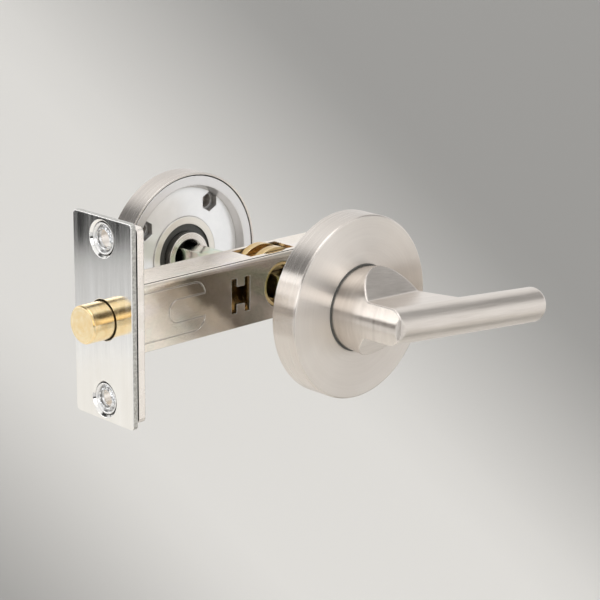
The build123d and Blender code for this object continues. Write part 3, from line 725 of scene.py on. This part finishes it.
# Rubbed wear and a painted highlight lighten its edges
tone = blend(tree, edge["Edge"], tone, colour(0.98, 0.80, 0.48))
tone = lay_over(tree, tone, shade["Shade"], 0.6, colour(0.10, 0.06, 0.02))
paint(tree, shader, tone, between(tree, oil["Patch"], 0.28, 0.18))
add_relief(tree, shader, lines["Height"], 0.000012, edge["Normal"])
dress(inner_brass, "bolt_tail")


# ---- Rotor
# Two brass discs on one core, turned from bar and broached square. Its rims show in the case's
# top slot. A steel pin across the groove between the discs works the tail.
spindle_axis = (0.0578, 0, 0)
along_y = (radians(90), 0, 0)


def rings_round_spindle(tree, per_metre):
    """Turned rings about the spindle's axis."""
    centred = placed(tree, turn=along_y, centre=spindle_axis)
    return use_group(tree, turned_grain, {"Vector": centred, "Per metre": per_metre})


rotor_finish, tree, shader = new_finish("turned inner brass", Metallic=1.0)
rings = rings_round_spindle(tree, 2600.0)
edge = use_group(tree, rubbed_edge_and_highlight, {"Width": 0.0003})
oil = use_group(tree, clouds, {"Vector": placed(tree), "Size": 0.004})
shade = use_group(tree, deep_shade, {"Reach": 0.003})
tone = blend(tree, rings["Tone"], colour(0.62, 0.43, 0.19), colour(0.83, 0.63, 0.34))
tone = lay_over(tree, tone, oil["Patch"], 0.4, colour(0.45, 0.30, 0.13))
# Rubbed wear and a painted highlight lighten its edges
tone = blend(tree, edge["Edge"], tone, colour(1.0, 0.84, 0.52))
tone = lay_over(tree, tone, shade["Shade"], 0.85, colour(0.08, 0.045, 0.015))
paint(tree, shader, tone, between(tree, rings["Tone"], 0.16, 0.28))
add_relief(tree, shader, rings["Height"], 0.000012, edge["Normal"])
dress(rotor_finish, "rotor")


# ---- Spindle
# A square bar of drawn steel, zinc-plated, with a pale green and pink film. It is pushed through
# the rotor's square hole and into the lever and the release turn.
spindle_finish, tree, shader = new_finish("rainbow zinc", Metallic=1.0)
lines = use_group(tree, straight_grain, {"Vector": placed(tree, (2600, 260, 2600))})
edge = use_group(tree, rubbed_edge_and_highlight, {"Width": 0.0004})
film = use_group(tree, clouds, {"Vector": placed(tree, (1, 0.6, 1)), "Size": 0.005})
shade = use_group(tree, deep_shade, {"Reach": 0.004})
hue = add_node(tree, "ShaderNodeSeparateColor", {"Color": film["Colour"]}).outputs["Green"]
tint = ramp(
    tree, hue,
    [(0.36, (0.78, 0.64, 0.66)), (0.46, (0.80, 0.80, 0.72)), (0.55, (0.62, 0.78, 0.62)),
     (0.66, (0.82, 0.78, 0.60))],
)
tone = lay_over(tree, tint, lines["Tone"], 0.25, colour(0.88, 0.88, 0.86))
# Rubbed wear and a painted highlight lighten its edges
tone = blend(tree, edge["Edge"], tone, colour(0.92, 0.92, 0.88))
tone = lay_over(tree, tone, shade["Shade"], 0.85, colour(0.05, 0.045, 0.04))
paint(tree, shader, tone, between(tree, lines["Tone"], 0.12, 0.2))
add_relief(tree, shader, lines["Height"], 0.00001, edge["Normal"])
dress(spindle_finish, "spindle")


# ---- Roses
# Each rose is a pressed stainless cap, turned and brushed round and round, over a bright zinc
# casting that has a dished floor, a collar and four hexagon pockets. Dark bushes line the bores.
rose_finish, tree, shader = new_finish(
    "turned stainless", Metallic=1.0, Anisotropic=1.0, Anisotropic_Rotation=0.25
)
rings = rings_round_spindle(tree, 2600.0)
edge = use_group(tree, rubbed_edge_and_highlight, {"Width": 0.0004})
marks = use_group(tree, clouds, {"Vector": placed(tree), "Size": 0.014})
tone = blend(tree, rings["Tone"], colour(0.64, 0.59, 0.545), colour(0.735, 0.685, 0.635))
# The flat face took a finer brush than the side and came out a little lighter
on_face = facing(tree, "Y", 0.8, 0.95, either_way=True)
tone = lay_over(tree, tone, on_face, 0.6, colour(0.90, 0.845, 0.785))
tone = lay_over(tree, tone, marks["Patch"], 0.15, colour(0.72, 0.65, 0.58))
# Rubbed wear and a painted highlight lighten its edges
tone = blend(tree, edge["Edge"], tone, colour(0.96, 0.92, 0.87))
roughness = mix_values(tree, on_face, between(tree, rings["Tone"], 0.23, 0.28), 0.37)
paint(tree, shader, tone, roughness)
brushed_round = add_node(tree, "ShaderNodeTangent", direction_type="RADIAL", axis="Y")
tree.links.new(brushed_round.outputs["Tangent"], shader.inputs["Tangent"])
add_relief(tree, shader, rings["Height"], 0.0000018, edge["Normal"])
dress(rose_finish, "front_rose_cap", "rear_rose_cap")

# The release turn, a turned and broached sleeve in the rear rose
release_finish, tree, shader = new_finish("satin release", Metallic=1.0)
rings = rings_round_spindle(tree, 3600.0)
edge = use_group(tree, rubbed_edge_and_highlight, {"Width": 0.0003})
shade = use_group(tree, deep_shade, {"Reach": 0.004})
tone = blend(tree, rings["Tone"], colour(0.74, 0.70, 0.65), colour(0.84, 0.80, 0.75))
# Rubbed wear and a painted highlight lighten its edges
tone = blend(tree, edge["Edge"], tone, colour(0.95, 0.92, 0.88))
tone = lay_over(tree, tone, shade["Shade"], 0.95, colour(0.03, 0.027, 0.025))
paint(tree, shader, tone, between(tree, rings["Tone"], 0.22, 0.3))
add_relief(tree, shader, rings["Height"], 0.000008, edge["Normal"])
dress(release_finish, "release_turn")

casting_finish, tree, shader = new_finish("bright zinc casting", Metallic=0.55)
edge = use_group(tree, rubbed_edge_and_highlight, {"Width": 0.0005})
skin = use_group(tree, clouds, {"Vector": placed(tree), "Size": 0.0025})
marks = use_group(tree, clouds, {"Vector": placed(tree), "Size": 0.012})
shade = use_group(tree, deep_shade, {"Reach": 0.0032})
tone = blend(tree, skin["Patch"], colour(0.94, 0.94, 0.945), colour(0.97, 0.97, 0.97))
tone = lay_over(tree, tone, marks["Patch"], 0.2, colour(0.78, 0.78, 0.79))
# Painted shade on the faces that turn away from the axis, such as the dish's walls
on_wall = facing(tree, "Y", 0.97, 0.9, either_way=True)
tone = lay_over(tree, tone, on_wall, 0.9, colour(0.40, 0.38, 0.36))
# The collar is creamier and the rim greyer than the floor between them
collar_end = 0.0124
rim_start = 0.0212
off_axis = vector_maths(tree, "SUBTRACT", coordinates(tree, "Object"), spindle_axis)
off_axis = vector_maths(tree, "MULTIPLY", off_axis, (1, 0, 1))
off_axis = vector_maths(tree, "LENGTH", off_axis)
on_collar = maths(tree, "LESS_THAN", off_axis, collar_end)
tone = blend(tree, on_collar, tone, colour(0.84, 0.80, 0.73))
on_rim = maths(tree, "GREATER_THAN", off_axis, rim_start)
tone = lay_over(tree, tone, on_rim, 0.8, colour(0.70, 0.68, 0.67))
# Rubbed wear and a painted highlight lighten its edges
tone = blend(tree, edge["Edge"], tone, colour(0.98, 0.98, 0.97))
tone = lay_over(tree, tone, shade["Shade"], 0.92, colour(0.06, 0.055, 0.05))
paint(tree, shader, tone, between(tree, skin["Patch"], 0.20, 0.24))
add_relief(tree, shader, skin["Patch"], 0.000003, edge["Normal"])
dress(casting_finish, "front_rose_base", "rear_rose_base")

bush_finish, tree, shader = new_finish("dark moulded bush", Metallic=0.0)
skin = use_group(tree, clouds, {"Vector": placed(tree), "Size": 0.0005})
edge = use_group(tree, rubbed_edge_and_highlight, {"Width": 0.0003})
tone = blend(tree, skin["Patch"], colour(0.050, 0.050, 0.046), colour(0.075, 0.076, 0.068))
# Rubbed wear and a painted highlight lighten its edges
tone = blend(tree, edge["Edge"], tone, colour(0.15, 0.155, 0.14))
paint(tree, shader, tone, between(tree, skin["Patch"], 0.3, 0.42))
add_relief(tree, shader, skin["Patch"], 0.00001, edge["Normal"])
dress(bush_finish, "front_bush", "rear_bush", "neck_ring")


# ---- Lever
# One stainless casting, ground to shape: a round neck, two flat scoops above and below, and a
# round arm, all brushed along the arm. It turns in the front rose and drives the spindle.
lever_droop = radians(5.5)
lever_finish, tree, shader = new_finish(
    "ground stainless", Metallic=1.0, Anisotropic_Rotation=0.25
)
lines = use_group(
    tree, straight_grain,
    {"Vector": placed(tree, (90, 1700, 1700), (0, -lever_droop, 0), spindle_axis)},
)
rings = rings_round_spindle(tree, 2600.0)
edge = use_group(tree, rubbed_edge_and_highlight, {"Width": 0.0008})
marks = use_group(tree, clouds, {"Vector": placed(tree, (0.5, 1, 1)), "Size": 0.007})
# The neck and nose are brushed round the spindle, all other faces along the arm. They lie outside
# this radius, face outward by at least this cosine, and end where the arm starts.
neck_radius = (0.0085, 0.0095)
neck_facing = (0.66, 0.74)
arm_start = 0.024
place = vector_maths(tree, "SUBTRACT", coordinates(tree, "Object"), spindle_axis)
outward = vector_maths(tree, "MULTIPLY", place, (1, 0, 1))
off_axis = rescale(tree, vector_maths(tree, "LENGTH", outward), *neck_radius)
heading = vector_maths(tree, "NORMALIZE", outward)
faces_out = vector_maths(tree, "DOT_PRODUCT", heading, coordinates(tree, "Normal"))
faces_out = rescale(tree, faces_out, *neck_facing)
on_neck = maths(tree, "MULTIPLY", off_axis, faces_out)
short_of_arm = maths(tree, "LESS_THAN", parts_of(tree, place)["X"], arm_start)
on_neck = maths(tree, "MULTIPLY", on_neck, short_of_arm)
brushed_along = add_node(
    tree, "ShaderNodeMix",
    {"Factor": on_neck, 4: (cos(lever_droop), 0, -sin(lever_droop)),
     5: vector_maths(tree, "CROSS_PRODUCT", (0, 1, 0), heading)},
    data_type="VECTOR",
)
brushed_along = add_node(
    tree, "ShaderNodeVectorTransform", {"Vector": brushed_along.outputs[1]},
    vector_type="VECTOR", convert_from="OBJECT", convert_to="WORLD",
)
tree.links.new(brushed_along.outputs["Vector"], shader.inputs["Tangent"])
tree.links.new(between(tree, on_neck, 0.5, 1.0), shader.inputs["Anisotropic"])
grain = mix_values(tree, on_neck, lines["Tone"], rings["Tone"])
tone = blend(tree, grain, colour(0.67, 0.615, 0.565), colour(0.81, 0.755, 0.70))
tone = lay_over(tree, tone, marks["Patch"], 0.15, colour(0.70, 0.64, 0.57))
# Rubbed wear and a painted highlight lighten its edges
tone = lay_over(tree, tone, edge["Edge"], 0.5, colour(0.98, 0.95, 0.91))
roughness = mix_values(
    tree, on_neck, between(tree, grain, 0.29, 0.36), between(tree, grain, 0.21, 0.26)
)
paint(tree, shader, tone, roughness)
add_relief(tree, shader, grain, 0.0000015, edge["Normal"])
dress(lever_finish, "lever_handle")
